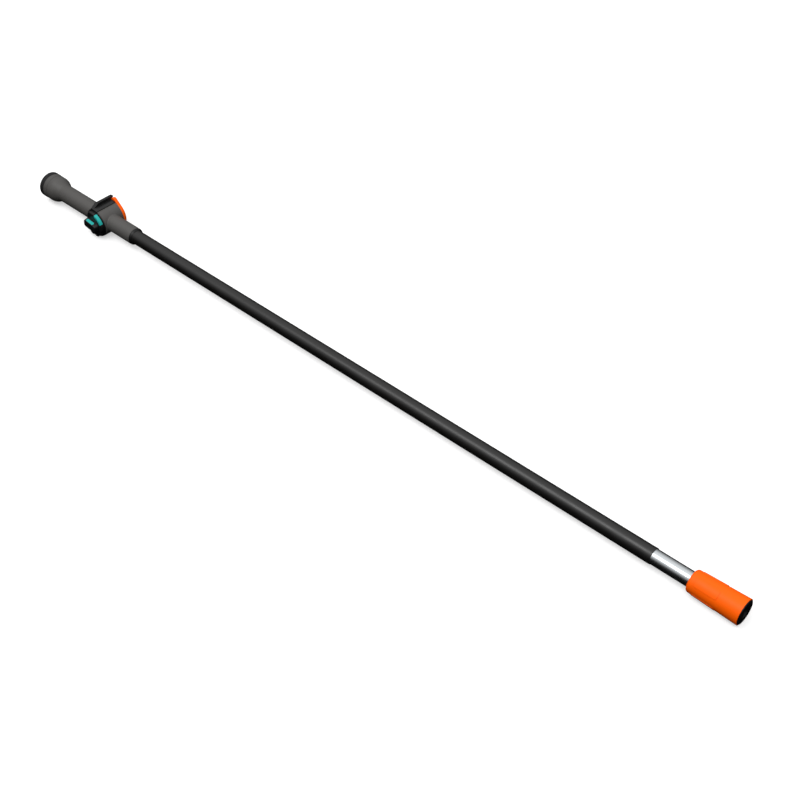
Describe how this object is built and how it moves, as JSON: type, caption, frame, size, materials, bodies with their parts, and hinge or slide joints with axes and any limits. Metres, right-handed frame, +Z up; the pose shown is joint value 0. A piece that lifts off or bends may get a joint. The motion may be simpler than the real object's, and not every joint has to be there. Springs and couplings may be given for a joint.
{
  "type": "watering wand",
  "caption": "Long water-fed wand with a flared grip, a thumb shut-off lever, a flow knob, a sleeved tube and a pull-back quick coupling at the tool end.",
  "frame": {"origin": "on the wand's axis, in the middle of the locking rim of the hose plug", "axes": "+X along the wand towards the tool end, +Z up through the thumb lever, -Y on the flow knob's side"},
  "size_m": [1.5, 0.0647, 0.0615],
  "materials": {
    "grey_plastic": "fine moulded texture",
    "black_rubber": "matte",
    "black_plastic": "fine moulded texture",
    "sleeve_black": "satin, faint grain",
    "polished_aluminium": "polished",
    "orange_plastic": "satin",
    "teal_plastic": "satin",
    "valve_plastic": "moulded",
    "steel": "bright"
  },
  "bodies": {
    "wand": {"bumper_ring": "black_rubber", "collar_spring": "steel", "coupling_body": "black_plastic", "coupling_o_ring": "black_rubber", "coupling_pins": "steel", "drum_cover": "orange_plastic", "handle_screws": "steel", "handle_shell_left": "grey_plastic", "handle_shell_right": "grey_plastic", "hose_plug": "valve_plastic", "inlet_pipe": "valve_plastic", "inlet_screen": "steel", "inner_tube": "polished_aluminium", "neck_gland": "black_plastic", "pipe_o_ring": "black_rubber", "plug_o_ring": "black_rubber", "stop_ring": "black_plastic", "tool_seal": "black_rubber", "tube_o_rings": "black_rubber", "tube_pins": "steel", "tube_sleeve": "sleeve_black", "valve_chamber": "valve_plastic"},
    "lever": {"thumb_lever": "black_plastic", "shutoff_barrel": "valve_plastic", "barrel_cap": "valve_plastic", "barrel_rings": "black_rubber"},
    "flow_control": {"flow_spindle": "valve_plastic", "spindle_ring": "black_rubber", "flow_knob": "black_plastic", "knob_rim_inlay": "teal_plastic", "knob_strip_inlay": "teal_plastic", "knob_screw": "steel", "knob_cap": "black_plastic"},
    "collar": {"coupling_collar": "orange_plastic"},
    "claw_1": {"locking_claw_1": "steel"},
    "claw_2": {"locking_claw_2": "steel"},
    "claw_3": {"locking_claw_3": "steel"}
  },
  "joints": [
    {"name": "lever_swing", "type": "hinge", "parent": "wand", "child": "lever", "pos_m": [0.151, 0, 0], "axis": [0, -1, 0], "range_deg": [0, 28]},
    {"name": "flow_turn", "type": "hinge", "parent": "wand", "child": "flow_control", "pos_m": [0.151, 0, 0], "axis": [0, 1, 0], "range_deg": [0, 90]},
    {"name": "collar_slide", "type": "slide", "parent": "wand", "child": "collar", "axis": [-1, 0, 0], "range_m": [0, 0.006], "stiffness_N_per_m": 500, "springref_m": -0.01, "deforming": ["collar_spring"]},
    {"name": "claw_1_lift", "type": "slide", "parent": "wand", "child": "claw_1", "axis": [0, 0, 1], "range_m": [0, 0.0018]},
    {"name": "claw_2_lift", "type": "slide", "parent": "wand", "child": "claw_2", "axis": [0, -0.866, -0.5], "range_m": [0, 0.0018]},
    {"name": "claw_3_lift", "type": "slide", "parent": "wand", "child": "claw_3", "axis": [0, 0.866, -0.5], "range_m": [0, 0.0018]}
  ],
  "couplings": [
    {"joint": "claw_1_lift", "follows": "collar_slide", "ratio": 0.3},
    {"joint": "claw_2_lift", "follows": "collar_slide", "ratio": 0.3},
    {"joint": "claw_3_lift", "follows": "collar_slide", "ratio": 0.3}
  ]
}
